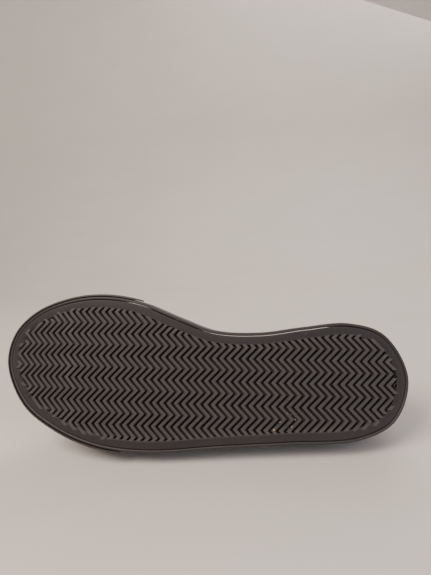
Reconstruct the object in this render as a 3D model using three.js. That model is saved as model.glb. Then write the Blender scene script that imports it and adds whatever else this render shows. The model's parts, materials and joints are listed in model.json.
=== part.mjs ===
// Slip-on sneaker, right foot, men's EU 44, lying on its outer side.
// The shoe is modelled standing on its sole, in millimetres: +X from toe to heel, +Y to the little-toe
// side, +Z up, with the ground under the flat middle of the sole at z = 0. The whole shoe is then
// turned onto its outer side. Every wall and panel is a patch of one of two surfaces: the edge
// of the sole, swept up from the outsole, and the outside of the upper, a dome from the sole's edge to
// a crest line over the foot.
import * as THREE from 'three';
import { mergeVertices } from 'three/addons/utils/BufferGeometryUtils.js';

// ---------- driving dimensions ----------
// edge of the outsole, from the toe tip round the little-toe side to the heel and back
const EDGE = [
  [-162, -19], [-148.5, 10], [-121.5, 29.5], [-88, 42.5], [-50, 47.4], [0, 46], [50, 45],
  [98, 43.8], [123, 32.5], [134.3, 5], [121.5, -23.5], [98, -32.5], [68, -31.5], [34, -29],
  [0, -32.5], [-28, -44.5], [-56, -57.5], [-84, -63.3], [-112, -62.2], [-139, -54], [-156.5, -39.5],
];
const HEEL_TIP = 9;                 // which of those points is the heel tip
const TOE_BREAK = -44;              // the sole curves up in front of here
const TOE_SPRING_R = 540;
const HEEL_BREAK = 39;              // and a little behind here
const HEEL_SPRING_R = 750;
const FLARE = { base: 0.03, outer: 0.06, inner: 0.03 };   // outward lean of the sole's walls
const GAP = 0.3;                    // between glued or stitched layers

const OUTSOLE_T = 4.5;
const FOXING = { inner: 0.3, outer: 2.6, bottom: 0.5, top: 25 };
const BUMPER = { inner: 3.0, outer: 4.4, bottom: 0.5, top: 25.8, endInner: -60, endOuter: -73 };
const FILLER = { inset: 0.3, bottom: 4.8, top: 9.4 };
const BOARD = { inset: 5.2, bottom: 9.7, top: 11.6 };
const SOCK = { inset: 5.7, bottom: 11.9, top: 15.6 };

const FEATHER = { inset: 0.3, height: 10 };   // where the upper turns in under the foot
// crest line over the foot, evenly spaced from toe to heel
const CREST = [[-21, 55], [-11, 65], [-4, 75], [1, 88], [6.5, 100], [6, 106], [6, 108]];
const CREST_X = { toe: -128, heel: 112 };
const FULLNESS = { toe: 2.2, heel: 1.6 };    // superellipse power of the cross-sections
const SKIN_T = 1.4;                 // leather of vamp, quarters and tongue
const STIFFENER = { outer: 1.8, inner: 2.6 };
const LINING = { outer: 3.1, inner: 3.9 };
const FOAM = { outer: 1.9, inner: 6.0 };
const COLLAR_FACE = { outer: 6.3, inner: 7.1 };
const BINDING = { outer: -0.3, inner: 7.2, low: 1.5, high: 3.1 };
const COLLAR_DEPTH = 20;            // height of the padded part of the collar

const SEAM = { foot: 0.37, gore: 0.43, tongueEnd: 0.56, quarterTop: 0.63 };  // stations along the shoe
const TONGUE_HALF = 0.35;           // share of a cross-section, from the crest down
const GORE_TIP = 0.09;
const TONGUE_LIFT = 0.03;           // the tongue's end is rounded by this much
const TOPLINE = { low: 60.5, front: 7.5, heel: 16.5, lowest: 0.75 };

const STAY = { half: 0.036, outer: -1.5, inner: -0.4, bottom: 26 };
const COUNTER = { station: 0.8, top: 50 };
const PUFF = { station: 0.17, top: 0.78 };
const TAB = { width: 12, length: 17, thickness: 3, lean: 15, below: 3.2, clear: 2.1 };

const LYING_TURN = -111.7;          // degrees about the length, onto foxing, bumper end and collar

// ---------- surfaces ----------
const edge = new THREE.CatmullRomCurve3(EDGE.map(([x, y]) => new THREE.Vector3(x, y, 0)), true, 'centripetal');
edge.arcLengthDivisions = 100 * EDGE.length;
const lengths = edge.getLengths();
const heelAt = lengths[100 * HEEL_TIP] / lengths[lengths.length - 1];

// q runs from -1 (heel) by the inner side to 0 (toe) and by the outer side to 1 (heel)
const wrap = (q) => (q > 1 ? q - 2 : q < -1 ? q + 2 : q);
function edgeAt(q) {
  const w = wrap(q);
  return edge.getPointAt(w >= 0 ? w * heelAt : 1 + w * (1 - heelAt));
}
function edgeNormal(q) {
  const t = edgeAt(q + 1e-3).sub(edgeAt(q - 1e-3)).normalize();
  return new THREE.Vector3(-t.y, t.x, 0);
}
function flare(q) {
  const w = wrap(q);
  return FLARE.base + (w > 0 ? FLARE.outer : FLARE.inner) * Math.sin(Math.PI * w) ** 2;
}
// the ground side of the sole: height and normal
function spring(x) {
  const toe = Math.max(0, TOE_BREAK - x);
  const heel = Math.max(0, x - HEEL_BREAK);
  const a = toe > 0 ? Math.asin(toe / TOE_SPRING_R) : -Math.asin(heel / HEEL_SPRING_R);
  const r = toe > 0 ? TOE_SPRING_R : HEEL_SPRING_R;
  return { z: r * (1 - Math.cos(a)), normal: new THREE.Vector3(Math.sin(a), 0, Math.cos(a)) };
}
// a point on the sole's wall: out from the outsole's edge, up from its ground side
function wall(q, out, up) {
  const foot = edgeAt(q);
  const ground = spring(foot.x);
  foot.z = ground.z;
  return foot.addScaledVector(edgeNormal(q), out + flare(q) * up).addScaledVector(ground.normal, up);
}

const crestLine = new THREE.CatmullRomCurve3(CREST.map(([y, z], i) => new THREE.Vector3(
  THREE.MathUtils.lerp(CREST_X.toe, CREST_X.heel, i / (CREST.length - 1)), y, z)), false, 'catmullrom');
const toeX = edgeAt(0).x;
const heelX = edgeAt(1).x;
// the section of the upper at q: its foot, crest and the slope of the crest there
function section(q) {
  const a = Math.abs(wrap(q));
  const m = THREE.MathUtils.clamp(((edgeAt(a).x + edgeAt(-a).x) / 2 - toeX) / (heelX - toeX), 0, 1);
  const crest = crestLine.getPoint(m);
  const t = crestLine.getTangent(m);
  const slope = t.z / t.x;
  const foot = wall(q, -FEATHER.inset, FEATHER.height);
  const up = spring(edgeAt(q).x).normal;
  const rise = crest.clone().sub(foot);
  const h = (rise.z - slope * rise.x) / (up.z - slope * up.x);
  const power = 2 / THREE.MathUtils.lerp(FULLNESS.toe, FULLNESS.heel, m);
  return { foot, crest, slope, up, h, over: rise.addScaledVector(up, -h), power, out: edgeNormal(q), lean: flare(q) };
}
// w runs from 0 at the sole to 1 at the crest
function outside(q, w) {
  const s = section(q);
  const angle = Math.min(w, 1) * Math.PI / 2;
  const climb = s.h * Math.sin(angle) ** s.power;
  const inward = w >= 1 ? 1 : 1 - Math.cos(angle) ** s.power;
  return s.foot.clone().addScaledVector(s.over, inward).addScaledVector(s.up, climb)
    .addScaledVector(s.out, s.lean * climb * Math.exp(-((climb / 35) ** 2)) * (1 - inward));
}
function outsideNormal(q, w) {
  if (w > 0.999) {
    return new THREE.Vector3(-section(q).slope, 0, 1).normalize();
  }
  const along = outside(q + 2e-3, w).sub(outside(q - 2e-3, w));
  const upward = outside(q, Math.min(w + 2e-3, 1)).sub(outside(q, Math.max(w - 2e-3, 0)));
  return upward.cross(along).normalize();
}
const layer = (q, w, depth) => outside(q, w).addScaledVector(outsideNormal(q, w), -depth);

// the w at which the outside of the upper reaches a height above the ground
function wAtHeight(q, z) {
  let low = 0;
  let high = 0.98;
  for (let i = 0; i < 24; i += 1) {
    const mid = (low + high) / 2;
    if (outside(q, mid).z < z) low = mid;
    else high = mid;
  }
  return (low + high) / 2;
}
function toplineHeight(q) {
  const a = Math.max(Math.abs(wrap(q)), SEAM.quarterTop);
  const span = a < TOPLINE.lowest ? (TOPLINE.lowest - a) / 0.13 : (a - TOPLINE.lowest) / 0.25;
  return TOPLINE.low + (a < TOPLINE.lowest ? TOPLINE.front * span ** 2
    : TOPLINE.heel * Math.sin(span * Math.PI / 2) ** 2);
}
const wTop = (q) => wAtHeight(Math.sign(q) * Math.max(Math.abs(q), SEAM.quarterTop), toplineHeight(q));

// ---------- solids ----------
// one closed body from a grid of outer and inner points; a grid that meets itself at its last
// column or row is welded there instead of walled
function solid(rows, columns, outer, inner, { closedRow = false, weldedTop = false } = {}) {
  const points = [];
  for (const face of [outer, inner]) {
    for (let i = 0; i <= rows; i += 1) {
      for (let j = 0; j <= columns; j += 1) points.push(face(i / rows, j / columns));
    }
  }
  const at = (side, i, j) => side * (rows + 1) * (columns + 1) + i * (columns + 1) + j;
  const index = [];
  const quad = (a, b, c, d) => index.push(a, b, c, a, c, d);
  for (let i = 0; i < rows; i += 1) {
    for (let j = 0; j < columns; j += 1) {
      quad(at(0, i, j), at(0, i + 1, j), at(0, i + 1, j + 1), at(0, i, j + 1));
      quad(at(1, i, j), at(1, i, j + 1), at(1, i + 1, j + 1), at(1, i + 1, j));
    }
    quad(at(0, i, 0), at(1, i, 0), at(1, i + 1, 0), at(0, i + 1, 0));
    if (!weldedTop) quad(at(0, i, columns), at(0, i + 1, columns), at(1, i + 1, columns), at(1, i, columns));
  }
  for (let j = 0; j < columns && !closedRow; j += 1) {
    quad(at(0, 0, j), at(0, 0, j + 1), at(1, 0, j + 1), at(1, 0, j));
    quad(at(0, rows, j), at(1, rows, j), at(1, rows, j + 1), at(0, rows, j + 1));
  }
  return weld(points, index);
}
function weld(points, index) {
  const raw = new THREE.BufferGeometry();
  raw.setAttribute('position', new THREE.Float32BufferAttribute(points.flatMap((p) => [p.x, p.y, p.z]), 3));
  raw.setIndex(index);
  const joined = mergeVertices(raw, 2e-3);
  const kept = [];
  const ids = joined.index.array;
  const place = joined.attributes.position;
  let volume = 0;
  for (let i = 0; i < ids.length; i += 3) {
    const [a, b, c] = [ids[i], ids[i + 1], ids[i + 2]];
    if (a === b || b === c || c === a) continue;
    kept.push([a, b, c]);
    const [p, r, s] = [a, b, c].map((k) => new THREE.Vector3().fromBufferAttribute(place, k));
    volume += p.dot(r.cross(s));
  }
  joined.setIndex(kept.flatMap((t) => (volume < 0 ? [t[0], t[2], t[1]] : t)));
  joined.computeVertexNormals();
  return joined;
}
// a sheet between two depths under the outside of the upper; place(i, j) gives its q and w
function panel(rows, columns, place, depths, options) {
  const face = (depth) => (i, j) => {
    const [q, w] = place(i, j);
    return layer(q, w, depth);
  };
  return solid(rows, columns, face(depths[0]), face(depths[1]), options);
}
// a plate across the sole, between two heights above its ground side
function plate({ inset, bottom, top }, stations = 40) {
  const face = (up) => (i, j) => {
    const a = i;
    return wall(-a, -inset, up).lerp(wall(a, -inset, up), j);
  };
  return solid(stations, 1, face(top), face(bottom), { closedRow: true });
}
// a strip of the sole's wall from one q to another
function strip({ inner, outer, bottom, top }, from, to, steps, options) {
  const face = (out) => (i, j) => wall(from + (to - from) * i, out, bottom + (top - bottom) * j);
  return solid(steps, 1, face(outer), face(inner), options);
}
function stationAtX(side, x) {
  let low = 0;
  let high = 1;
  for (let i = 0; i < 24; i += 1) {
    const mid = (low + high) / 2;
    if (edgeAt(side * mid).x < x) low = mid;
    else high = mid;
  }
  return side * low;
}

// ---------- outlines of the upper's panels ----------
const { lerp } = THREE.MathUtils;
const tongueSide = 1 - TONGUE_HALF;
const goreFoot = tongueSide - GORE_TIP;
const CUT = 0.0022;                 // half the gap at a seam, as a share of the shoe's side
const GORE_CLEAR = 0.015;          // from the tongue to a gore, so that the tongue can lift, same share

// back edge of the vamp at w
const vampBack = (w) => (w < goreFoot ? lerp(SEAM.foot, SEAM.gore, w / goreFoot) : SEAM.gore) - CUT;
function vampPlace(i, j) {
  const side = 2 * i - 1;
  return [side * vampBack(j), j];
}
// top edge of a quarter: along the gore, then along the topline
function quarterEdge(q) {
  const side = Math.sign(q);
  const k = (Math.abs(q) - SEAM.gore) / (SEAM.quarterTop - SEAM.gore);
  return k < 1 ? lerp(goreFoot, wTop(side * SEAM.quarterTop), Math.max(k, 0)) : wTop(q);
}
function quarterPlace(side, topOf) {
  return (i, j) => {
    const q = side * lerp(lerp(SEAM.foot, SEAM.gore, j) + CUT, 1 - CUT, i);
    return [q, j * topOf(q)];
  };
}
function gorePlace(side) {
  return (i, j) => {
    const forward = lerp(SEAM.gore + 2 * CUT, SEAM.tongueEnd, j);
    const back = lerp(SEAM.gore + 2 * CUT, SEAM.quarterTop, j);
    const low = quarterEdge(side * back) + 4 * CUT;
    return [side * lerp(forward, back, i), lerp(tongueSide - GORE_CLEAR, low, i)];
  };
}
function tonguePlace(i, j) {
  const v = (2 * j - 1) * (TONGUE_HALF - 2 * CUT);
  const end = SEAM.tongueEnd + TONGUE_LIFT * (1 - (v / TONGUE_HALF) ** 2);
  const a = lerp(SEAM.gore + CUT, end, i);
  return [v < 0 ? -a : a, 1 - Math.abs(v)];
}
// the way round the back of the shoe from inner to outer side, leaving out the front of each side
const roundHeel = (i, front) => wrap(-front - 2 * (1 - front) * i);

// ---------- materials ----------
const looks = {
  rubber: { color: 0x2b292a, roughness: 0.72 },
  smoothRubber: { color: 0x1c1b1c, roughness: 0.5 },
  sponge: { color: 0x3a3733, roughness: 0.95 },
  board: { color: 0x8d7a5d, roughness: 0.9 },
  leather: { color: 0x161516, roughness: 0.42 },
  cloth: { color: 0x201f21, roughness: 0.9 },
  elastic: { color: 0x19191a, roughness: 0.85 },
  foam: { color: 0x6d6a66, roughness: 0.95 },
  fibre: { color: 0x5b554d, roughness: 0.8 },
};
const shoe = new THREE.Group();
function add(name, geometry, look) {
  const mesh = new THREE.Mesh(geometry, new THREE.MeshStandardMaterial({ metalness: 0, ...looks[look] }));
  mesh.name = name;
  shoe.add(mesh);
  return mesh;
}

// ---------- sole unit ----------
add('outsole', plate({ inset: 0, bottom: 0, top: OUTSOLE_T }), 'rubber');
add('midsole_filler', plate(FILLER), 'sponge');
add('insole_board', plate(BOARD), 'board');
add('sockliner', plate(SOCK), 'cloth');
add('foxing_strip', strip(FOXING, -1, 1, 80, { closedRow: true }), 'smoothRubber');
add('toe_bumper', strip(BUMPER, stationAtX(-1, BUMPER.endInner), stationAtX(1, BUMPER.endOuter), 32), 'rubber');

// ---------- front of the upper ----------
const wholeSkin = [0, SKIN_T];
const stiff = [STIFFENER.outer, STIFFENER.inner];
const lined = [LINING.outer, LINING.inner];
add('vamp', panel(28, 9, vampPlace, wholeSkin, { weldedTop: true }), 'leather');
add('vamp_lining', panel(24, 8, vampPlace, lined, { weldedTop: true }), 'cloth');
add('toe_puff', panel(16, 7, (i, j) => [lerp(-PUFF.station, PUFF.station, i), PUFF.top * j], stiff), 'fibre');

// ---------- instep: tongue and elastic gores ----------
const tongue = add('tongue', panel(5, 12, tonguePlace, wholeSkin), 'leather');
add('tongue_padding', panel(5, 10, tonguePlace, [SKIN_T + GAP, 4.4]), 'foam');
add('tongue_lining', panel(5, 10, tonguePlace, [4.7, 5.5]), 'cloth');
add('gore_inner', panel(4, 6, gorePlace(-1), [0.2, 1.4]), 'elastic');
add('gore_outer', panel(4, 6, gorePlace(1), [0.2, 1.4]), 'elastic');

// ---------- back of the upper ----------
const overTop = (rise) => (q) => wAtHeight(q, toplineHeight(q) + rise);
const underCollar = overTop(-COLLAR_DEPTH);
const front = SEAM.quarterTop + 0.012;
for (const [name, side] of [['inner', -1], ['outer', 1]]) {
  add(`quarter_${name}`, panel(28, 7, quarterPlace(side, quarterEdge), wholeSkin), 'leather');
  add(`quarter_lining_${name}`, panel(28, 6, quarterPlace(side, underCollar), lined), 'cloth');
}
function collarPlace(lowOf, highOf) {
  return (i, j) => {
    const q = roundHeel(i, front);
    return [q, lerp(lowOf(q), highOf(q), j)];
  };
}
add('heel_counter', panel(20, 4, (i, j) => {
  const q = roundHeel(i, COUNTER.station);
  return [q, wAtHeight(q, COUNTER.top) * j];
}, stiff), 'fibre');
const foamFoot = (q) => Math.max(overTop(1.2 - COLLAR_DEPTH)(q), wAtHeight(q, COUNTER.top + 1.2));
add('collar_padding', panel(26, 2, collarPlace(foamFoot, overTop(-0.4)), [FOAM.outer, FOAM.inner]), 'foam');
add('collar_lining', panel(26, 3, collarPlace(underCollar, overTop(-0.4)),
  [COLLAR_FACE.outer, COLLAR_FACE.inner]), 'cloth');
add('topline_binding', panel(44, 1, collarPlace(overTop(BINDING.low), overTop(BINDING.high)),
  [BINDING.outer, BINDING.inner]), 'leather');
add('heel_stay', panel(4, 6, (i, j) => {
  const q = roundHeel(i, 1 - STAY.half);
  return [q, lerp(wAtHeight(q, spring(heelX).z + STAY.bottom), wTop(q), j)];
}, [STAY.outer, STAY.inner]), 'leather');

// ---------- heel pull tab ----------
const tabPivot = layer(1, wAtHeight(1, toplineHeight(1) - TAB.below), STAY.outer - TAB.clear);
const half = TAB.thickness / 2;
const tabProfile = new THREE.Shape();
tabProfile.absarc(0, 0, half, 0, Math.PI, false);
tabProfile.lineTo(-half, -TAB.length);
tabProfile.absarc(0, -TAB.length, half, Math.PI, 2 * Math.PI, false);
tabProfile.lineTo(half, 0);
const tabShape = new THREE.ExtrudeGeometry(tabProfile, { depth: TAB.width, bevelEnabled: false, curveSegments: 6 });
tabShape.translate(0, 0, -TAB.width / 2);
tabShape.rotateX(Math.PI / 2);
const tab = add('heel_pull_tab', tabShape, 'elastic');
tab.position.copy(tabPivot);
tab.rotation.y = -TAB.lean * Math.PI / 180;

// ---------- the shoe lying on its outer side, with the origin in the middle of its base ----------
const lying = new THREE.Group();
lying.rotation.x = THREE.MathUtils.degToRad(LYING_TURN);
lying.add(shoe);
lying.updateMatrixWorld(true);
const box = new THREE.Box3().setFromObject(lying, true);
const middle = box.getCenter(new THREE.Vector3());
lying.position.set(-middle.x, -middle.y, -box.min.z);
const group = new THREE.Group();
group.add(lying);

export default group;
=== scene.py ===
import json
import math

import bmesh
import bpy
import numpy as np
from mathutils import Euler, Matrix, Vector


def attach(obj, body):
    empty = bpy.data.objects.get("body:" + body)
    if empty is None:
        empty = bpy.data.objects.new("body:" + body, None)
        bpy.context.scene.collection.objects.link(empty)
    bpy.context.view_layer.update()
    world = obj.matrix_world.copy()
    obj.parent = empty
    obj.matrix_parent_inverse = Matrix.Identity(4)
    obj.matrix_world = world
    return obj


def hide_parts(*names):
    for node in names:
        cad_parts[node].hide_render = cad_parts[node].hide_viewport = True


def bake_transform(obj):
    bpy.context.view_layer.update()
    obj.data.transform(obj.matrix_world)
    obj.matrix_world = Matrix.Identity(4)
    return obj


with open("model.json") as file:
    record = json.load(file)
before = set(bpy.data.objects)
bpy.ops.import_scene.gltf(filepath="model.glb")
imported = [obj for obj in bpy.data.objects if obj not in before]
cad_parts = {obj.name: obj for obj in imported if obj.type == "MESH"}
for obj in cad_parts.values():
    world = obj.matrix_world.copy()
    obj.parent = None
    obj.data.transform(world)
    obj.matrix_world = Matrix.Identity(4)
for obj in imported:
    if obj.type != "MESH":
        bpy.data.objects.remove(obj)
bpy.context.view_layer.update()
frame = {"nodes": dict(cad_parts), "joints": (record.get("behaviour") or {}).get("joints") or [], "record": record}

# The shoe is drawn standing up, in millimetres: x from toe to heel, y to the little-toe side, z up
# from the ground. The frame's mount on the sole says how the standing shoe is turned onto its side.
SOLE_MOUNT = frame["record"]["mounts"][0]
SOLE_MOUNT_AT = np.array([10.0, 5.0, 0.0])
UP = -np.array(SOLE_MOUNT["axis"])
AXES = np.array([[1.0, 0.0, 0.0], np.cross(UP, [1.0, 0.0, 0.0]), UP])
ORIGIN = np.array(SOLE_MOUNT["pos_m"]) * 1000 - SOLE_MOUNT_AT @ AXES


def lay(points):
    """Millimetres on the standing shoe to metres in the frame."""
    return (np.asarray(points, float) @ AXES + ORIGIN) / 1000


# ---- camera: close in front of the sole, pitched down ----
CAMERA_AT = (31.9, -14.3, -316.7)
CAMERA_TURN = (-9.41, 5.05, -3.67)
LENS, SENSOR = 27.05, 36.0
turned = np.array(Euler([math.radians(a) for a in CAMERA_TURN], "XYZ").to_matrix()) @ AXES
camera = bpy.data.objects.new("camera", bpy.data.cameras.new("camera"))
bpy.context.scene.collection.objects.link(camera)
camera.data.lens = LENS
camera.data.sensor_width = SENSOR
camera.matrix_world = (Matrix.Translation(Vector(lay(CAMERA_AT)))
                       @ Matrix([turned[0], -turned[1], -turned[2]]).transposed().to_4x4())
camera.data.clip_start = 0.01
bpy.context.scene.camera = camera


# ---- floor and light: a plain pale sheet, a large soft lamp above left and two fills ----
def linear(hex_colour):
    """An sRGB hex colour as linear RGBA."""
    parts = [int(hex_colour[i:i + 2], 16) / 255 for i in (0, 2, 4)]
    return [c / 12.92 if c <= 0.04045 else ((c + 0.055) / 1.055) ** 2.4 for c in parts] + [1.0]


def add(material, kind, links=(), **settings):
    """Adds one node; links are (socket here, node, its output), settings go to sockets or properties."""
    node = material.node_tree.nodes.new("ShaderNode" + kind)
    for key, value in settings.items():
        name = key.replace("_", " ")
        socket = next((s for s in node.inputs if s.name.lower() == name.lower()), None)
        if socket is not None:
            socket.default_value = value
        else:
            setattr(node, key, value)
    for socket, source, output in links:
        material.node_tree.links.new(source.outputs[output], node.inputs[socket])
    return node


def new_material(name):
    material = bpy.data.materials.new(name)
    material.use_nodes = True
    material.node_tree.nodes.clear()
    return material


def finish_material(material, shader):
    out = add(material, "OutputMaterial")
    material.node_tree.links.new(shader.outputs[0], out.inputs["Surface"])
    return material


paper = new_material("matt_painted_board")
paper_grain = add(paper, "TexNoise", scale=60.0, detail=4.0)
paper_tone = add(paper, "Mix", [("Factor", paper_grain, "Fac")], data_type="RGBA")
paper_tone.inputs[6].default_value = linear("c9c2bb")
paper_tone.inputs[7].default_value = linear("d2ccc6")
finish_material(paper, add(paper, "BsdfPrincipled", [("Base Color", paper_tone, 2)], roughness=0.8))
FLOOR_HALF, FLOOR_FRONT, WALL_AT, WALL_HIGH, SWEEP_R = 3.0, -1.6, 0.9, 3.0, 0.35
FLOOR_GAP = 0.0002
sweep = [(FLOOR_FRONT, 0.0), (WALL_AT - SWEEP_R, 0.0)]
for step in range(1, 9):
    angle = step / 8 * math.pi / 2
    sweep.append((WALL_AT - SWEEP_R + SWEEP_R * math.sin(angle), SWEEP_R * (1 - math.cos(angle))))
sweep.append((WALL_AT, WALL_HIGH))
floor_mesh = bpy.data.meshes.new("floor")
floor_mesh.from_pydata([(x, y, z - FLOOR_GAP) for y, z in sweep for x in (-FLOOR_HALF, FLOOR_HALF)], [],
                       [(2 * i, 2 * i + 1, 2 * i + 3, 2 * i + 2) for i in range(len(sweep) - 1)])
floor_mesh.polygons.foreach_set("use_smooth", [True] * len(floor_mesh.polygons))
floor_mesh.materials.append(paper)
floor = bpy.data.objects.new("floor", floor_mesh)
bpy.context.scene.collection.objects.link(floor)
for label, place, size, power, colour in (
        ("key", (-0.5, -0.55, 0.95), 0.6, 17.0, "fff1e2"),
        ("fill", (0.75, -0.8, 0.5), 0.9, 7.0, "f3f0ff"),
        ("back", (0.3, 0.75, 0.8), 0.7, 8.0, "fff6ee")):
    lamp = bpy.data.objects.new(label, bpy.data.lights.new(label, "AREA"))
    lamp.data.size = size
    lamp.data.energy = power
    lamp.data.color = linear(colour)[:3]
    lamp.location = place
    lamp.rotation_euler = (Vector((0, 0, 0.05)) - Vector(place)).to_track_quat("-Z", "Y").to_euler()
    bpy.context.scene.collection.objects.link(lamp)
world = bpy.data.worlds.new("studio")
world.use_nodes = True
world.node_tree.nodes["Background"].inputs[0].default_value = linear("dcd8d4")
world.node_tree.nodes["Background"].inputs[1].default_value = 0.35
bpy.context.scene.world = world

# ---- form: the two surfaces that every piece of the shoe is cut from ----
# The sole's wall is swept round the outsole's edge; the upper is a dome from that edge to a crest
# line over the foot. q runs from -1 (heel) by the inner side to 0 (toe) and by the outer side to 1.
EDGE = [(-162, -19), (-148.5, 10), (-121.5, 29.5), (-88, 42.5), (-50, 47.4), (0, 46), (50, 45),
        (98, 43.8), (123, 32.5), (134.3, 5), (121.5, -23.5), (98, -32.5), (68, -31.5), (34, -29),
        (0, -32.5), (-28, -44.5), (-56, -57.5), (-84, -63.3), (-112, -62.2), (-139, -54), (-156.5, -39.5)]
HEEL_TIP = 9
TOE_BREAK, TOE_SPRING_R, HEEL_BREAK, HEEL_SPRING_R = -44, 540, 39, 750
FLARE_BASE, FLARE_OUTER, FLARE_INNER = 0.03, 0.06, 0.03
FEATHER_INSET, FEATHER_HEIGHT = 0.3, 10
CREST = [(-21, 55), (-11, 65), (-4, 75), (1, 88), (6.5, 100), (6, 106), (6, 108)]
CREST_TOE, CREST_HEEL = -128, 112
FULL_TOE, FULL_HEEL = 2.2, 1.6


def smooth_curve(points, closed, centripetal, per_span=60):
    """Points on a Catmull-Rom curve, per_span for each stretch between two of its points."""
    p = np.array(points, float)
    n = len(p)
    ends = [p[-1]] if closed else [2 * p[0] - p[1]]
    tails = [p[0], p[1]] if closed else [2 * p[-1] - p[-2]]
    p = np.vstack([ends, p, tails])
    made = []
    for i in range(n if closed else n - 1):
        p0, p1, p2, p3 = p[i:i + 4]
        if centripetal:
            d0, d1, d2 = (np.linalg.norm(b - a) ** 0.5 for a, b in ((p0, p1), (p1, p2), (p2, p3)))
            t1 = d1 * ((p1 - p0) / d0 - (p2 - p0) / (d0 + d1) + (p2 - p1) / d1)
            t2 = d1 * ((p2 - p1) / d1 - (p3 - p1) / (d1 + d2) + (p3 - p2) / d2)
        else:
            t1, t2 = (p2 - p0) / 2, (p3 - p1) / 2
        t = np.linspace(0, 1, per_span, endpoint=False)[:, None]
        made.append(p1 + t1 * t + (3 * (p2 - p1) - 2 * t1 - t2) * t ** 2 + (2 * (p1 - p2) + t1 + t2) * t ** 3)
    made.append((p[1] if closed else p[-2])[None])
    return np.vstack(made)


outline = smooth_curve(EDGE, True, True)
run = np.r_[0, np.cumsum(np.linalg.norm(np.diff(outline, axis=0), axis=1))]
HEEL_RUN = run[60 * HEEL_TIP]
crest_line = smooth_curve([(CREST_TOE + (CREST_HEEL - CREST_TOE) * i / 6, y, z)
                           for i, (y, z) in enumerate(CREST)], False, False)


def wrap(q):
    return (np.asarray(q, float) + 1) % 2 - 1


def edge_at(q):
    q = wrap(q)
    at = np.where(q >= 0, q * HEEL_RUN, run[-1] + q * (run[-1] - HEEL_RUN))
    return np.stack([np.interp(at, run, outline[:, 0]), np.interp(at, run, outline[:, 1]), 0 * at], -1)


def edge_out(q):
    t = edge_at(q + 2e-3) - edge_at(q - 2e-3)
    t /= np.linalg.norm(t, axis=-1, keepdims=True)
    return np.stack([-t[..., 1], t[..., 0], 0 * t[..., 0]], -1)


def flare(q):
    q = wrap(q)
    return FLARE_BASE + np.where(q > 0, FLARE_OUTER, FLARE_INNER) * np.sin(np.pi * q) ** 2


def spring(x):
    """Height and normal of the sole's ground side, which curves up at the toe and a little at the heel."""
    toe, heel = np.maximum(0, TOE_BREAK - x), np.maximum(0, x - HEEL_BREAK)
    a = np.where(toe > 0, np.arcsin(toe / TOE_SPRING_R), -np.arcsin(np.minimum(heel / HEEL_SPRING_R, 1)))
    r = np.where(toe > 0, TOE_SPRING_R, HEEL_SPRING_R)
    return r * (1 - np.cos(a)), np.stack([np.sin(a), 0 * a, np.cos(a)], -1)


def on_sole(x, y, up):
    """A point of the sole: its place in plan and its height above the ground side."""
    z, normal = spring(x)
    return np.stack([x, y, z], -1) + normal * np.asarray(up)[..., None]


def wall(q, out, up):
    q = np.asarray(q, float)
    foot = edge_at(q) + edge_out(q) * (out + flare(q) * up)[..., None]
    z, normal = spring(edge_at(q)[..., 0])
    foot[..., 2] = z
    return foot + normal * (up + 0 * q)[..., None]


def section(q):
    a = np.abs(wrap(q))
    toe_x, heel_x = edge_at(np.array(0.0))[0], edge_at(np.array(1.0))[0]
    m = np.clip(((edge_at(a)[..., 0] + edge_at(-a)[..., 0]) / 2 - toe_x) / (heel_x - toe_x), 0, 1)
    at = m * (len(crest_line) - 1)
    knots = np.arange(len(crest_line))
    crest = np.stack([np.interp(at, knots, crest_line[:, k]) for k in range(3)], -1)
    slopes = np.gradient(crest_line[:, 2]) / np.gradient(crest_line[:, 0])
    slope = np.interp(at, knots, slopes)
    foot = wall(q, -FEATHER_INSET + 0 * a, FEATHER_HEIGHT + 0 * a)
    up = spring(edge_at(q)[..., 0])[1]
    rise = crest - foot
    h = (rise[..., 2] - slope * rise[..., 0]) / (up[..., 2] - slope * up[..., 0])
    return foot, up, h, rise - up * h[..., None], slope, 2 / (FULL_TOE + (FULL_HEEL - FULL_TOE) * m)


def outside(q, w):
    foot, up, h, over, _, power = section(q)
    angle = np.clip(w, 0, 1) * np.pi / 2
    climb = h * np.sin(angle) ** power
    inward = 1 - np.maximum(np.cos(angle), 0) ** power
    lean = flare(q) * climb * np.exp(-(climb / 35) ** 2) * (1 - inward)
    return foot + over * inward[..., None] + up * climb[..., None] + edge_out(q) * lean[..., None]


def outside_normal(q, w):
    along = outside(q + 3e-3, w) - outside(q - 3e-3, w)
    upward = outside(q, np.minimum(w + 3e-3, 1)) - outside(q, np.maximum(w - 3e-3, 0))
    n = np.cross(upward, along)
    n /= np.maximum(np.linalg.norm(n, axis=-1, keepdims=True), 1e-9)
    slope = section(q)[4]
    top = np.stack([-slope, 0 * slope, 1 + 0 * slope], -1)
    top /= np.linalg.norm(top, axis=-1, keepdims=True)
    near = np.clip((np.asarray(w) - 0.96) / 0.04, 0, 1)[..., None]
    n = n * (1 - near) + top * near
    return n / np.linalg.norm(n, axis=-1, keepdims=True)


def layer(q, w, depth):
    q, w = np.broadcast_arrays(np.asarray(q, float), np.asarray(w, float))
    return outside(q, w) - outside_normal(q, w) * (np.asarray(depth) + 0 * q)[..., None]


def w_at_height(q, z):
    low, high = np.zeros_like(q), np.full_like(q, 0.98)
    for _ in range(22):
        mid = (low + high) / 2
        under = outside(q, mid)[..., 2] < z
        low, high = np.where(under, mid, low), np.where(under, high, mid)
    return (low + high) / 2


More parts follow.
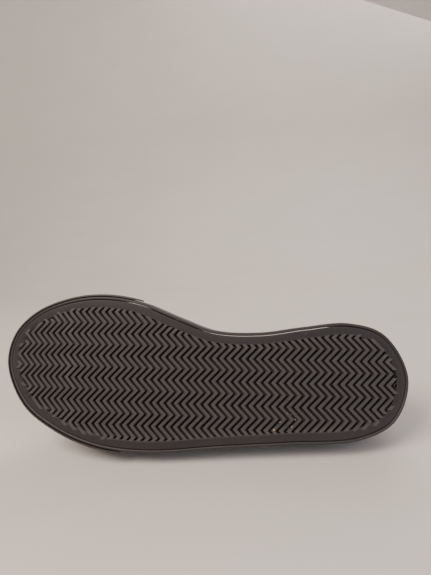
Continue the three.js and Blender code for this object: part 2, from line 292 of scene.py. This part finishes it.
# ---- how a piece is made: a grid of outer points and one of inner points, joined into one body ----
def make_piece(name, outer, inner, body, material, nodes, loop=False, welded=False, round_mm=0.35):
    """One closed mesh from two grids of standing-shoe points; its outer edges are rounded over."""
    rows, columns = outer.shape[:2]
    index = np.arange(2 * rows * columns).reshape(2, rows, columns)
    faces = []
    for side, flip in ((0, False), (1, True)):
        g = index[side]
        quads = np.stack([g[:-1, :-1], g[1:, :-1], g[1:, 1:], g[:-1, 1:]], -1).reshape(-1, 4)
        faces.append(quads[:, ::-1] if flip else quads)
    borders = [(index[:, :, 0], True)] + ([] if welded else [(index[:, :, -1], False)])
    if not loop:
        borders += [(index[:, 0, :], False), (index[:, -1, :], True)]
    for pair, flip in borders:
        a, b = pair
        quads = np.stack([a[:-1], b[:-1], b[1:], a[1:]], -1)
        faces.append(quads if flip else quads[:, ::-1])
    mesh = bpy.data.meshes.new(name)
    mesh.from_pydata(lay(np.concatenate([outer.reshape(-1, 3), inner.reshape(-1, 3)])).tolist(), [],
                     np.concatenate(faces).tolist())
    return close_piece(name, mesh, body, material, nodes, round_mm)


def close_piece(name, mesh, body, material, nodes, round_mm):
    work = bmesh.new()
    work.from_mesh(mesh)
    bmesh.ops.remove_doubles(work, verts=work.verts, dist=2e-6)
    bmesh.ops.dissolve_degenerate(work, edges=work.edges, dist=1e-6)
    bmesh.ops.recalc_face_normals(work, faces=work.faces)
    work.to_mesh(mesh)
    work.free()
    mesh.polygons.foreach_set("use_smooth", [True] * len(mesh.polygons))
    mesh.set_sharp_from_angle(angle=math.radians(48))
    mesh.materials.append(material)
    piece = bpy.data.objects.new(name, mesh)
    bpy.context.scene.collection.objects.link(piece)
    if round_mm:
        bevel = piece.modifiers.new("rounded_edges", "BEVEL")
        bevel.width = round_mm / 1000
        bevel.segments = 2
        bevel.limit_method = "ANGLE"
        bevel.angle_limit = math.radians(50)
    if body:
        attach(piece, body)
    if nodes:
        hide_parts(*nodes)
    return piece


def grid(rows, columns):
    return np.meshgrid(np.linspace(0, 1, rows), np.linspace(0, 1, columns), indexing="ij")


# ---- outsole: one moulding of matt black rubber with a herringbone tread inside a plain rim ----
# The rubber is dusty with a little sand. It is painted lighter on the raised ribs and rounded edges, partly as
# wear and partly as painted highlight, and black in the grooves.
def rubber(name, dark, light, rough, grain_mm, wear_and_highlight=0.0, sand=0.0):
    material = new_material(name)
    place = add(material, "TexCoord")
    blotch = add(material, "TexNoise", [("Vector", place, "Object")], scale=28.0, detail=5.0)
    fine = add(material, "TexNoise", [("Vector", place, "Object")], scale=1000 / grain_mm, detail=6.0)
    both = add(material, "Math", [(0, blotch, "Fac"), (1, fine, "Fac")], operation="MULTIPLY")
    spread = add(material, "MapRange", [("Value", both, 0)])
    spread.inputs["From Min"].default_value = 0.12
    spread.inputs["From Max"].default_value = 0.42
    tone = add(material, "Mix", [("Factor", spread, 0)], data_type="RGBA")
    tone.inputs[6].default_value = linear(dark)
    tone.inputs[7].default_value = linear(light)
    colour, socket = tone, 2
    if wear_and_highlight:
        # Convex edges are painted lighter by their pointiness: partly rubbed wear, partly painted highlight where
        # light catches them.
        edge = add(material, "NewGeometry")
        worn = add(material, "MapRange", [("Value", edge, "Pointiness")])
        worn.inputs["From Min"].default_value = 0.5
        worn.inputs["From Max"].default_value = 0.58
        worn.inputs["To Max"].default_value = wear_and_highlight
        colour = add(material, "Mix", [("Factor", worn, 0), (6, tone, 2)], data_type="RGBA")
        colour.inputs[7].default_value = linear("6f6866")
    if sand:
        cells = add(material, "TexVoronoi", [("Vector", place, "Object")], scale=260.0)
        patch = add(material, "TexNoise", [("Vector", place, "Object")], scale=22.0, detail=1.0)
        grains = add(material, "Math", [(0, cells, "Distance")], operation="LESS_THAN")
        grains.inputs[1].default_value = 0.16
        where = add(material, "Math", [(0, patch, "Fac")], operation="GREATER_THAN")
        where.inputs[1].default_value = 0.66
        mask = add(material, "Math", [(0, grains, 0), (1, where, 0)], operation="MULTIPLY")
        thin = add(material, "Math", [(0, mask, 0)], operation="MULTIPLY")
        thin.inputs[1].default_value = sand
        colour_next = add(material, "Mix", [("Factor", thin, 0), (6, colour, 2)], data_type="RGBA")
        colour_next.inputs[7].default_value = linear("a58a6c")
        colour = colour_next
    bump = add(material, "Bump", [("Height", fine, "Fac")], strength=0.35, distance=0.0002)
    rougher = add(material, "MapRange", [("Value", blotch, "Fac")])
    rougher.inputs["To Min"].default_value = rough - 0.08
    rougher.inputs["To Max"].default_value = rough + 0.08
    shader = add(material, "BsdfPrincipled", [("Base Color", colour, socket), ("Roughness", rougher, 0),
                                              ("Normal", bump, 0)], ior=1.52,
                 specular_ior_level=0.3)
    return finish_material(material, shader)


tread_rubber = rubber("matt_moulded_rubber", "151314", "231f20", 0.7, 0.8, wear_and_highlight=0.3, sand=0.8)
PITCH, PERIOD, SWING, GROOVE, DEPTH = 5.37, 16.45, 7.6, 2.25, 2.5
TREAD_TURN = math.radians(4.1)
ROW_AT, RIB_AT = (65.0, -10.2), -24.0
OUTSOLE_T, RIM = 4.4, 6.0


def zigzag(v):
    k = np.abs(((v / PERIOD) % 1) - 0.5) * 2
    return SWING * (1 - k)


def inside_edge(x, y):
    """Distance inside the outsole's edge in plan, negative outside it."""
    ring = outline[::4, :2]
    ax, ay = ring[:-1, 0], ring[:-1, 1]
    bx, by = ring[1:, 0], ring[1:, 1]
    found = np.empty(x.size)
    for start in range(0, x.size, 4000):
        px, py = x.ravel()[start:start + 4000, None], y.ravel()[start:start + 4000, None]
        t = np.clip(((px - ax) * (bx - ax) + (py - ay) * (by - ay)) / ((bx - ax) ** 2 + (by - ay) ** 2), 0, 1)
        gap = np.hypot(px - ax - t * (bx - ax), py - ay - t * (by - ay)).min(1)
        cross = ((ay > py) != (by > py)) & (px < (bx - ax) * (py - ay) / (by - ay + 1e-12) + ax)
        found[start:start + 4000] = np.where(cross.sum(1) % 2 == 1, gap, -gap)
    return found.reshape(x.shape)


# across one rib and groove: how far along the pitch, and how deep
RIB_LINES = [(0.0, 0.22), (0.18, 0.0), (PITCH - GROOVE - 0.18, 0.0), (PITCH - GROOVE, 0.22),
             (PITCH - GROOVE + 0.3, DEPTH - 0.2), (PITCH - GROOVE + 0.55, DEPTH), (PITCH - 0.55, DEPTH),
             (PITCH - 0.3, DEPTH - 0.2)]
ribs = range(-40, 30)
along = np.array([ROW_AT[0] + RIB_AT + k * PITCH + a for k in ribs for a, _ in RIB_LINES])
cut = np.array([d for _ in ribs for _, d in RIB_LINES])
across = np.arange(-6.0, 6.01, 1 / 6) * PERIOD
u, v = np.meshgrid(along, across, indexing="ij")
u = u + zigzag(v) - ROW_AT[0]
x = ROW_AT[0] + u * math.cos(TREAD_TURN) - v * math.sin(TREAD_TURN)
y = ROW_AT[1] + u * math.sin(TREAD_TURN) + v * math.cos(TREAD_TURN)
depth = np.broadcast_to(cut[:, None], x.shape)
kept = inside_edge(x, y) > RIM / 2
cell = kept[:-1, :-1] & kept[1:, :-1] & kept[1:, 1:] & kept[:-1, 1:]
ids = np.arange(x.size).reshape(x.shape)
quads = np.stack([ids[:-1, :-1], ids[1:, :-1], ids[1:, 1:], ids[:-1, 1:]], -1)[cell]
used, flat = np.unique(quads, return_inverse=True)
quads = flat.reshape(-1, 4)
low = on_sole(x.ravel()[used], y.ravel()[used], depth.ravel()[used])
high = on_sole(x.ravel()[used], y.ravel()[used], np.full(used.size, OUTSOLE_T))
sides = np.stack([quads, np.roll(quads, -1, axis=1)], -1).reshape(-1, 2)
keys = {tuple(e) for e in sides.tolist()}
rim_edges = [(a, b) for a, b in sides.tolist() if (b, a) not in keys]
n = used.size
tread_mesh = bpy.data.meshes.new("outsole_tread")
tread_mesh.from_pydata(lay(np.vstack([low, high])).tolist(), [], quads.tolist()
                       + (quads[:, ::-1] + n).tolist() + [(b, a, a + n, b + n) for a, b in rim_edges])
close_piece("outsole_tread", tread_mesh, "shoe", tread_rubber, ["outsole"], 0)


def swept(name, profile, start, stop, steps, material, nodes, body="shoe", loop=True):
    """A closed outline of (out, up) points carried round the sole's edge."""
    q = np.linspace(start, stop, steps)
    pts = np.stack([wall(q, np.full(steps, float(o)), np.full(steps, float(h))) for o, h in profile], 1)
    rows, columns = pts.shape[:2]
    g = np.arange(rows * columns).reshape(rows, columns)
    h = np.roll(g, -1, axis=1)
    faces = np.stack([g[:-1], g[1:], h[1:], h[:-1]], -1).reshape(-1, 4).tolist()
    if not loop:
        faces += [g[0, ::-1].tolist(), g[-1].tolist()]
    mesh = bpy.data.meshes.new(name)
    mesh.from_pydata(lay(pts.reshape(-1, 3)).tolist(), [], faces)
    return close_piece(name, mesh, body, material, nodes, 0)


# The rim's rounded edges get the same lighter paint: partly wear, partly painted highlight.
rim_rubber = rubber("matt_moulded_rubber_rim", "1a1718", "272324", 0.66, 0.9, wear_and_highlight=0.2, sand=0.25)
RIM_PROFILE = [(-RIM, 2.9), (-RIM, 0.35), (-RIM + 0.12, 0.06), (-RIM + 0.4, -0.05), (-RIM + 1.2, -0.06),
               (-1.2, -0.05), (-0.5, 0.05), (-0.12, 0.4), (0, 1.0), (0, OUTSOLE_T), (-RIM, OUTSOLE_T)]
STATIONS = 520
swept("outsole_rim", RIM_PROFILE, -1, 1, STATIONS, rim_rubber, [])

# ---- foxing: a smooth strip of calendered rubber wrapped round the sole's side and vulcanised on ----
# Its ground edge is rounded and a fine line runs below its top.
# The foxing's rounded ground edge is painted lighter: a painted highlight, partly wear.
foxing_rubber = rubber("calendered_rubber_foxing", "181617", "232021", 0.48, 1.4, wear_and_highlight=0.2)
FOXING_PROFILE = [(0.3, 24.4), (0.3, 0.9), (0.75, 0.45), (1.5, 0.4), (2.2, 0.75), (2.55, 1.5), (2.68, 3.0),
                  (2.78, 8), (2.8, 14), (2.72, 19.9), (2.42, 20.25), (2.42, 20.55), (2.7, 20.9), (2.6, 23.4),
                  (2.25, 24.6), (1.6, 25.0), (0.8, 24.95)]
swept("foxing_strip", FOXING_PROFILE, -1, 1, STATIONS, foxing_rubber, ["foxing_strip"])

# ---- toe bumper: a second rubber band round the toe, embossed with small diamonds for grip ----
# It ends in square steps, the inner one further back than the outer one.
# The bumper's diamond edges are painted lighter: partly wear, partly painted highlight.
bumper_rubber = rubber("embossed_rubber_bumper", "1c191a", "2c2728", 0.6, 0.9, wear_and_highlight=0.25)
BUMPER = dict(inner=3.0, outer=4.3, bottom=0.5, top=25.6, inner_end=-60.0, outer_end=-73.0)
DIAMOND, EMBOSS, BORDER = 3.0, 0.45, 1.6


def station_at(side, x):
    q = np.linspace(0, 1, 2001) * side
    return q[np.argmax(edge_at(q)[:, 0] > x)]


ends = station_at(-1, BUMPER["inner_end"]), station_at(1, BUMPER["outer_end"])
i, j = grid(560, 44)
q = ends[0] + (ends[1] - ends[0]) * i
up = BUMPER["bottom"] + (BUMPER["top"] - BUMPER["bottom"]) * j
arc = np.where(q >= 0, q * HEEL_RUN, q * (run[-1] - HEEL_RUN))
border = np.minimum(np.minimum(up - BUMPER["bottom"], BUMPER["top"] - up),
                    np.minimum(arc - arc.min(), arc.max() - arc))
pattern = np.abs(np.sin(np.pi * (arc + up) / DIAMOND) * np.sin(np.pi * (arc - up) / DIAMOND))
relief = EMBOSS * (1 - np.clip(pattern * 1.6, 0, 1)) * np.clip((border - BORDER) / 0.6, 0, 1)
shoulder = 0.7 * (1 - np.sqrt(np.clip(1 - (1 - np.clip(border / 0.9, 0, 1)) ** 2, 0, 1)))
bumper_face = wall(q, BUMPER["outer"] - relief - shoulder, up)
bumper_back = wall(q, BUMPER["inner"] + 0 * q, up)
make_piece("toe_bumper", bumper_face, bumper_back, "shoe", bumper_rubber, ["toe_bumper"],
           round_mm=0)

# ---- vamp: one panel of black smooth-grain leather over the toes, creased lightly where it bends ----
TONGUE_HALF, GORE_TIP, CUT = 0.35, 0.09, 0.0012
SEAM_FOOT, SEAM_GORE, TONGUE_END, QUARTER_TOP = 0.37, 0.43, 0.56, 0.63
GORE_FOOT = 1 - TONGUE_HALF - GORE_TIP
SKIN_T = 1.4


def leather(name, dark, light, rough):
    material = new_material(name)
    place = add(material, "TexCoord")
    cells = add(material, "TexVoronoi", [("Vector", place, "Object")], scale=900.0,
                feature="DISTANCE_TO_EDGE")
    pores = add(material, "TexNoise", [("Vector", place, "Object")], scale=1600.0, detail=3.0)
    cloud = add(material, "TexNoise", [("Vector", place, "Object")], scale=35.0, detail=5.0)
    tone = add(material, "Mix", [("Factor", cloud, "Fac")], data_type="RGBA")
    tone.inputs[6].default_value = linear(dark)
    tone.inputs[7].default_value = linear(light)
    grain = add(material, "Math", [(0, cells, "Distance"), (1, pores, "Fac")], operation="MULTIPLY_ADD")
    grain.inputs[2].default_value = 0.0
    bump = add(material, "Bump", [("Height", grain, 0)], strength=0.45, distance=0.00025)
    worn = add(material, "MapRange", [("Value", cloud, "Fac")])
    worn.inputs["To Min"].default_value = rough - 0.09
    worn.inputs["To Max"].default_value = rough + 0.12
    shader = add(material, "BsdfPrincipled",
                 [("Base Color", tone, 2), ("Roughness", worn, 0), ("Normal", bump, 0)], ior=1.5)
    return finish_material(material, shader)


black_leather = leather("corrected_grain_leather", "0c0b0c", "151314", 0.4)


def creases(q, w, centre, spread, pitch, height, slant):
    """Shallow folds across the flex line, strongest at its middle."""
    s = np.abs(q) - centre + slant * (w - 0.5)
    fade = np.exp(-(s / spread) ** 2) * np.clip((w - 0.1) / 0.3, 0, 1)
    return height * fade * np.sin(2 * np.pi * s / pitch + 1.4 * np.sin(5 * w))


def vamp_back(w):
    return np.where(w < GORE_FOOT, SEAM_FOOT + (SEAM_GORE - SEAM_FOOT) * w / GORE_FOOT, SEAM_GORE) - CUT


i, w = grid(181, 61)
q = (2 * i - 1) * vamp_back(w)
fold = creases(q, w, 0.33, 0.045, 0.024, 0.28, 0.08)
make_piece("vamp", layer(q, w, -fold), layer(q, w, SKIN_T - fold), "shoe", black_leather, ["vamp"],
           welded=True)


# ---- linings: black cotton drill glued inside the vamp and quarters, with a sock on the insole ----
def cloth(name, dark, light, thread_mm, rough=0.9):
    """Woven cloth: warp and weft as two crossed waves, each 2 pi times thread_mm long."""
    material = new_material(name)
    place = add(material, "TexCoord")
    waves = [add(material, "TexWave", [("Vector", place, "Object")], bands_direction=d, wave_profile="SIN",
                 scale=1000 / thread_mm / 20, distortion=0.6, detail=2.0) for d in ("X", "Z")]
    weave = add(material, "Math", [(0, waves[0], "Fac"), (1, waves[1], "Fac")], operation="MULTIPLY")
    tone = add(material, "Mix", [("Factor", weave, 0)], data_type="RGBA")
    tone.inputs[6].default_value = linear(dark)
    tone.inputs[7].default_value = linear(light)
    bump = add(material, "Bump", [("Height", weave, 0)], strength=0.5, distance=0.0002)
    shader = add(material, "BsdfPrincipled", [("Base Color", tone, 2), ("Normal", bump, 0)], roughness=rough,
                 sheen_weight=0.25, sheen_roughness=0.5)
    return finish_material(material, shader)


TOPLINE_LOW, TOPLINE_FRONT, TOPLINE_HEEL, TOPLINE_LOWEST, COLLAR_DEPTH = 60.5, 7.5, 16.5, 0.75, 20


def topline(q):
    a = np.maximum(np.abs(wrap(q)), QUARTER_TOP)
    front = TOPLINE_FRONT * ((TOPLINE_LOWEST - a) / 0.13) ** 2
    back = TOPLINE_HEEL * np.sin((a - TOPLINE_LOWEST) / 0.25 * np.pi / 2) ** 2
    return TOPLINE_LOW + np.where(a < TOPLINE_LOWEST, front, back)


def w_top(q, rise=0.0):
    q = np.sign(q) * np.maximum(np.abs(q), QUARTER_TOP)
    return w_at_height(q, topline(q) + rise)


def quarter_edge(q):
    k = (np.abs(q) - SEAM_GORE) / (QUARTER_TOP - SEAM_GORE)
    at_corner = w_top(np.sign(q) * QUARTER_TOP)
    return np.where(k < 1, GORE_FOOT + (at_corner - GORE_FOOT) * np.maximum(k, 0), w_top(q))


LINING = (3.1, 3.9)
drill = cloth("cotton_drill_lining", "121213", "242325", 0.9)
i, w = grid(121, 41)
q = (2 * i - 1) * vamp_back(w)
make_piece("vamp_lining", layer(q, w, LINING[0]), layer(q, w, LINING[1]), "shoe", drill,
           ["vamp_lining"], welded=True, round_mm=0.2)
for side_name, side in (("inner", -1), ("outer", 1)):
    i, j = grid(100, 24)
    q = side * ((SEAM_FOOT + (SEAM_GORE - SEAM_FOOT) * j + CUT) * (1 - i) + (1 - CUT) * i)
    w = j * w_top(q, -COLLAR_DEPTH)
    make_piece(f"quarter_lining_{side_name}", layer(q, w, LINING[0]), layer(q, w, LINING[1]), "shoe", drill,
               [f"quarter_lining_{side_name}"], round_mm=0.2)

# ---- quarters: two leather panels from the vamp seam round to the heel, softly creased at the back ----
for side_name, side in (("inner", -1), ("outer", 1)):
    i, j = grid(150, 44)
    q = side * ((SEAM_FOOT + (SEAM_GORE - SEAM_FOOT) * j + CUT) * (1 - i) + (1 - CUT) * i)
    w = j * quarter_edge(q)
    fold = creases(q, w, 0.84, 0.05, 0.022, 0.22 if side > 0 else 0.12, 0.25)
    make_piece(f"quarter_{side_name}", layer(q, w, -fold), layer(q, w, SKIN_T - fold), "shoe", black_leather,
               [f"quarter_{side_name}"])

# ---- tongue: the leather flap over the instep, backed with a thin pad and cloth ----
# It swings up a little on its front seam to let the foot in, where the elastic at its sides stretches on the real
# shoe; here the elastic gores stay as drawn.
i, j = grid(40, 70)
v = (2 * j - 1) * (TONGUE_HALF - 2 * CUT)
tongue_root = SEAM_GORE + CUT
tongue_tip = TONGUE_END + 0.03 * (1 - (v / TONGUE_HALF) ** 2)
q = np.sign(v + 1e-12) * (tongue_root + (tongue_tip - tongue_root) * i)
w = 1 - np.abs(v)
make_piece("tongue", layer(q, w, 0.0), layer(q, w, SKIN_T), "tongue_flap", black_leather,
           ["tongue"])
swell = 3.4 * (1 - (2 * i - 1) ** 4) * (1 - (2 * j - 1) ** 6)
pad = make_piece("tongue_pad", layer(q, w, 1.7), layer(q, w, 2.1 + swell), "tongue_flap", drill,
                 ["tongue_padding", "tongue_lining"], round_mm=0.2)

# ---- gores: ribbed black elastic webbing let in between tongue and quarters ----
elastic = cloth("ribbed_elastic_webbing", "101011", "2a292b", 1.1)
RIB_MM, GORE_WIDE, RIB_HIGH, GORE_GAP = 1.5, 22, 0.22, 0.0044
SEWN_AT = 60
for side_name, side in (("inner", -1), ("outer", 1)):
    i, j = grid(34, 90)
    root = SEAM_GORE + GORE_GAP
    forward = root + (TONGUE_END - root) * j
    back = root + (QUARTER_TOP - root) * j
    q = side * (forward + (back - forward) * i)
    low = quarter_edge(side * back) + 2 * GORE_GAP
    w = (1 - TONGUE_HALF - 0.004) * (1 - i) + low * i
    rib = RIB_HIGH * np.abs(np.sin(np.pi * i * GORE_WIDE / RIB_MM))
    gore = make_piece(f"gore_{side_name}", layer(q, w, 0.2 + rib), layer(q, w, 1.5), None, elastic,
                      [f"gore_{side_name}"], round_mm=0)
    fixed = lay(layer(q[-1:, SEWN_AT], w[-1:, SEWN_AT], 0.8))[0]
    moving = lay(layer(q[:1, SEWN_AT], w[:1, SEWN_AT], 0.8))[0]
    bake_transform(gore)

# ---- collar: soft foam under cloth round the ankle, with a leather binding along its top ----
collar_front = QUARTER_TOP + 0.012
i, j = grid(160, 22)
q = wrap(-collar_front - 2 * (1 - collar_front) * i)
w = w_top(q, -COLLAR_DEPTH) * (1 - j) + w_top(q, 0.9) * j
thin_ends = np.clip(np.minimum(i, 1 - i) / 0.06, 0.25, 1)
plump = (1.0 + 4.2 * np.sin(np.pi * np.clip(j * 0.78 + 0.12, 0, 1)) ** 0.8) * thin_ends
collar = make_piece("collar_lining", layer(q, w, 1.75), layer(q, w, 1.95 + plump), "shoe", drill,
                    ["collar_padding", "collar_lining"], round_mm=0.3)
i, j = grid(200, 9)
q = wrap(-collar_front - 2 * (1 - collar_front) * i)
turn = j * np.pi
w = w_top(q, 0.9) * (1 - np.sin(turn)) + w_top(q, 3.0) * np.sin(turn)
across_mm = -0.3 + 6.4 * (1 - np.cos(turn)) / 2
w_flat = w_top(q, 0.95)
make_piece("topline_binding", layer(q, w, across_mm), layer(q, w_flat, across_mm), "shoe", black_leather,
           ["topline_binding"], round_mm=0)

# ---- heel stay: a leather strip sewn over the back seam, and the small webbing pull tab on it ----
i, j = grid(26, 60)
STAY_HALF, STAY_FOOT = 0.036, 26
q = wrap(-(1 - STAY_HALF) - 2 * STAY_HALF * i)
foot_z = spring(edge_at(np.array(1.0))[0])[0] + STAY_FOOT
w = w_at_height(q, foot_z + 0 * q) * (1 - j) + w_top(q) * j
make_piece("heel_stay", layer(q, w, -1.4), layer(q, w, -0.3), "shoe", black_leather, ["heel_stay"])

webbing = cloth("nylon_webbing", "0f0f10", "262527", 0.8, rough=0.75)
tab_joint = next(joint for joint in frame["joints"] if joint["name"] == "tab_flip")
pivot_mm = (np.array(tab_joint["pos_m"]) * 1000 - ORIGIN) @ AXES.T
TAB_LENGTH, TAB_WIDTH, TAB_LEAN, TAPE = 17.0, 12.0, math.radians(15), 1.1
loop = []
for step in range(25):
    a = math.pi * step / 24
    loop.append((-0.2 - 1.1 * math.cos(a), -TAB_LENGTH + 1.6 - 1.4 * math.sin(a)))
tape = [(-1.0, 1.2), (-1.05, -4.0), (-1.2, -10.0)] + loop + [(1.2, -10.0), (1.05, -4.0), (1.0, 1.2)]
tape = np.array(tape)
step_dir = np.gradient(tape, axis=0)
step_dir /= np.linalg.norm(step_dir, axis=1, keepdims=True)
outward = np.stack([-step_dir[:, 1], step_dir[:, 0]], -1)
centre = np.array([tape[:, 0].mean(), -TAB_LENGTH / 2])
outward *= np.sign(((tape - centre) * outward).sum(1, keepdims=True))
sides = []
for shift in (TAPE / 2, -TAPE / 2):
    edge2 = tape + outward * shift
    across_t = np.linspace(-TAB_WIDTH / 2, TAB_WIDTH / 2, 16)
    px = edge2[:, :1] * math.cos(TAB_LEAN) - edge2[:, 1:] * math.sin(TAB_LEAN) + 0 * across_t
    pz = edge2[:, :1] * math.sin(TAB_LEAN) + edge2[:, 1:] * math.cos(TAB_LEAN) + 0 * across_t
    sides.append(np.stack([px, 0 * px + across_t, pz], -1) + pivot_mm)
make_piece("heel_pull_tab", sides[0], sides[1], "pull_tab", webbing, ["heel_pull_tab"],
           round_mm=0.15)

# ---- sock: a foam-backed cloth sock glued on the insole board, slightly dished and crowned at its edge ----
a = np.linspace(0.002, 0.998, 120)[:, None]
t = np.linspace(0, 1, 40)[None, :]
inner_edge = wall(-a[:, 0], np.full(120, -5.9), np.full(120, 15.0))
outer_edge = wall(a[:, 0], np.full(120, -5.9), np.full(120, 15.0))
base_low = wall(-a[:, 0], np.full(120, -5.9), np.full(120, 12.0))
base_high = wall(a[:, 0], np.full(120, -5.9), np.full(120, 12.0))
crown = 0.6 * (1 - (2 * t - 1) ** 6) - 0.5 * np.exp(-((2 * t - 1) / 0.5) ** 2) + 0 * a
top = inner_edge[:, None] * (1 - t[..., None]) + outer_edge[:, None] * t[..., None]
top[..., 2] += crown
bottom = base_low[:, None] * (1 - t[..., None]) + base_high[:, None] * t[..., None]
sock = make_piece("sockliner", top, bottom, "shoe", drill, ["sockliner"], round_mm=0.5)

# ---- hidden pieces keep their solids: the sponge filler, the boards and the stiffeners ----
sponge = rubber("blown_rubber_filler", "2a2725", "3d3936", 0.9, 1.2)
fibre = rubber("pressed_fibre_board", "6d5b41", "8a7658", 0.85, 0.7)
for node, material in (("midsole_filler", sponge), ("insole_board", fibre), ("toe_puff", fibre),
                       ("heel_counter", fibre)):
    cad = frame["nodes"][node]
    cad.data.materials.clear()
    cad.data.materials.append(material)

# ---- stitching: bonded nylon thread, lock-stitched about eight to the inch along every seam ----
thread = cloth("bonded_nylon_thread", "1c1b1c", "3a383a", 0.5, rough=0.55)
STITCH, STITCH_PITCH, THREAD_R = 2.2, 3.0, 0.32


def stitch_row(name, q, w, depth, body):
    """A row of separate stitches half sunk in the leather along a line on the upper."""
    line = layer(q, w, depth)
    normal = outside_normal(q, w)
    at = np.r_[0, np.cumsum(np.linalg.norm(np.diff(line, axis=0), axis=1))]
    verts, faces = [], []
    for s in np.arange(1.5, at[-1] - 1.5, STITCH_PITCH):
        here, ahead = (np.array([np.interp(k, at, line[:, c]) for c in range(3)]) for k in (s, s + 0.5))
        n = np.array([np.interp(s, at, normal[:, c]) for c in range(3)])
        t = (ahead - here) / np.linalg.norm(ahead - here)
        b = np.cross(t, n)
        start = len(verts)
        for k, size in ((-1.0, 0.35), (-0.8, 0.8), (0.0, 1.0), (0.8, 0.8), (1.0, 0.35)):
            for a in range(8):
                angle = a * math.pi / 4
                lift = 0.16 * (1 - k * k)
                verts.append(here + t * k * STITCH / 2 + n * (lift + size * THREAD_R * math.sin(angle))
                             + b * size * THREAD_R * math.cos(angle))
        for ring in range(4):
            for a in range(8):
                c = start + ring * 8
                faces.append((c + a, c + (a + 1) % 8, c + 8 + (a + 1) % 8, c + 8 + a))
        faces.append(tuple(start + a for a in range(7, -1, -1)))
        faces.append(tuple(start + 32 + a for a in range(8)))
    mesh = bpy.data.meshes.new(name)
    mesh.from_pydata(lay(np.array(verts)).tolist(), [], faces)
    return close_piece(name, mesh, body, thread, [], 0)


run_up = np.linspace(0.26, 0.995, 90)
for side_name, side in (("inner", -1), ("outer", 1)):
    for number, back in ((1, 0.009), (2, 0.015)):
        stitch_row(f"vamp_seam_{side_name}_{number}", side * (vamp_back(run_up) - back), run_up, 0.05, "shoe")
    top_q = side * np.linspace(SEAM_GORE + 0.03, 0.955, 120)
    stitch_row(f"topline_seam_{side_name}", top_q, quarter_edge(top_q) - 0.03, 0.05, "shoe")
    stay_q = side * np.full(60, 1 - 0.029)
    stay_foot = float(w_at_height(stay_q[:1], foot_z + 1.5)[0])
    stay_w = np.linspace(stay_foot, float(w_top(stay_q[:1])[0]) - 0.02, 60)
    stitch_row(f"stay_seam_{side_name}", stay_q, stay_w, -1.45, "shoe")
    tongue_q = side * np.linspace(SEAM_GORE + 0.012, TONGUE_END - 0.01, 60)
    tongue_w = np.full(60, 1 - TONGUE_HALF + 0.03)
    stitch_row(f"tongue_seam_{side_name}", tongue_q, tongue_w, 0.05, "tongue_flap")
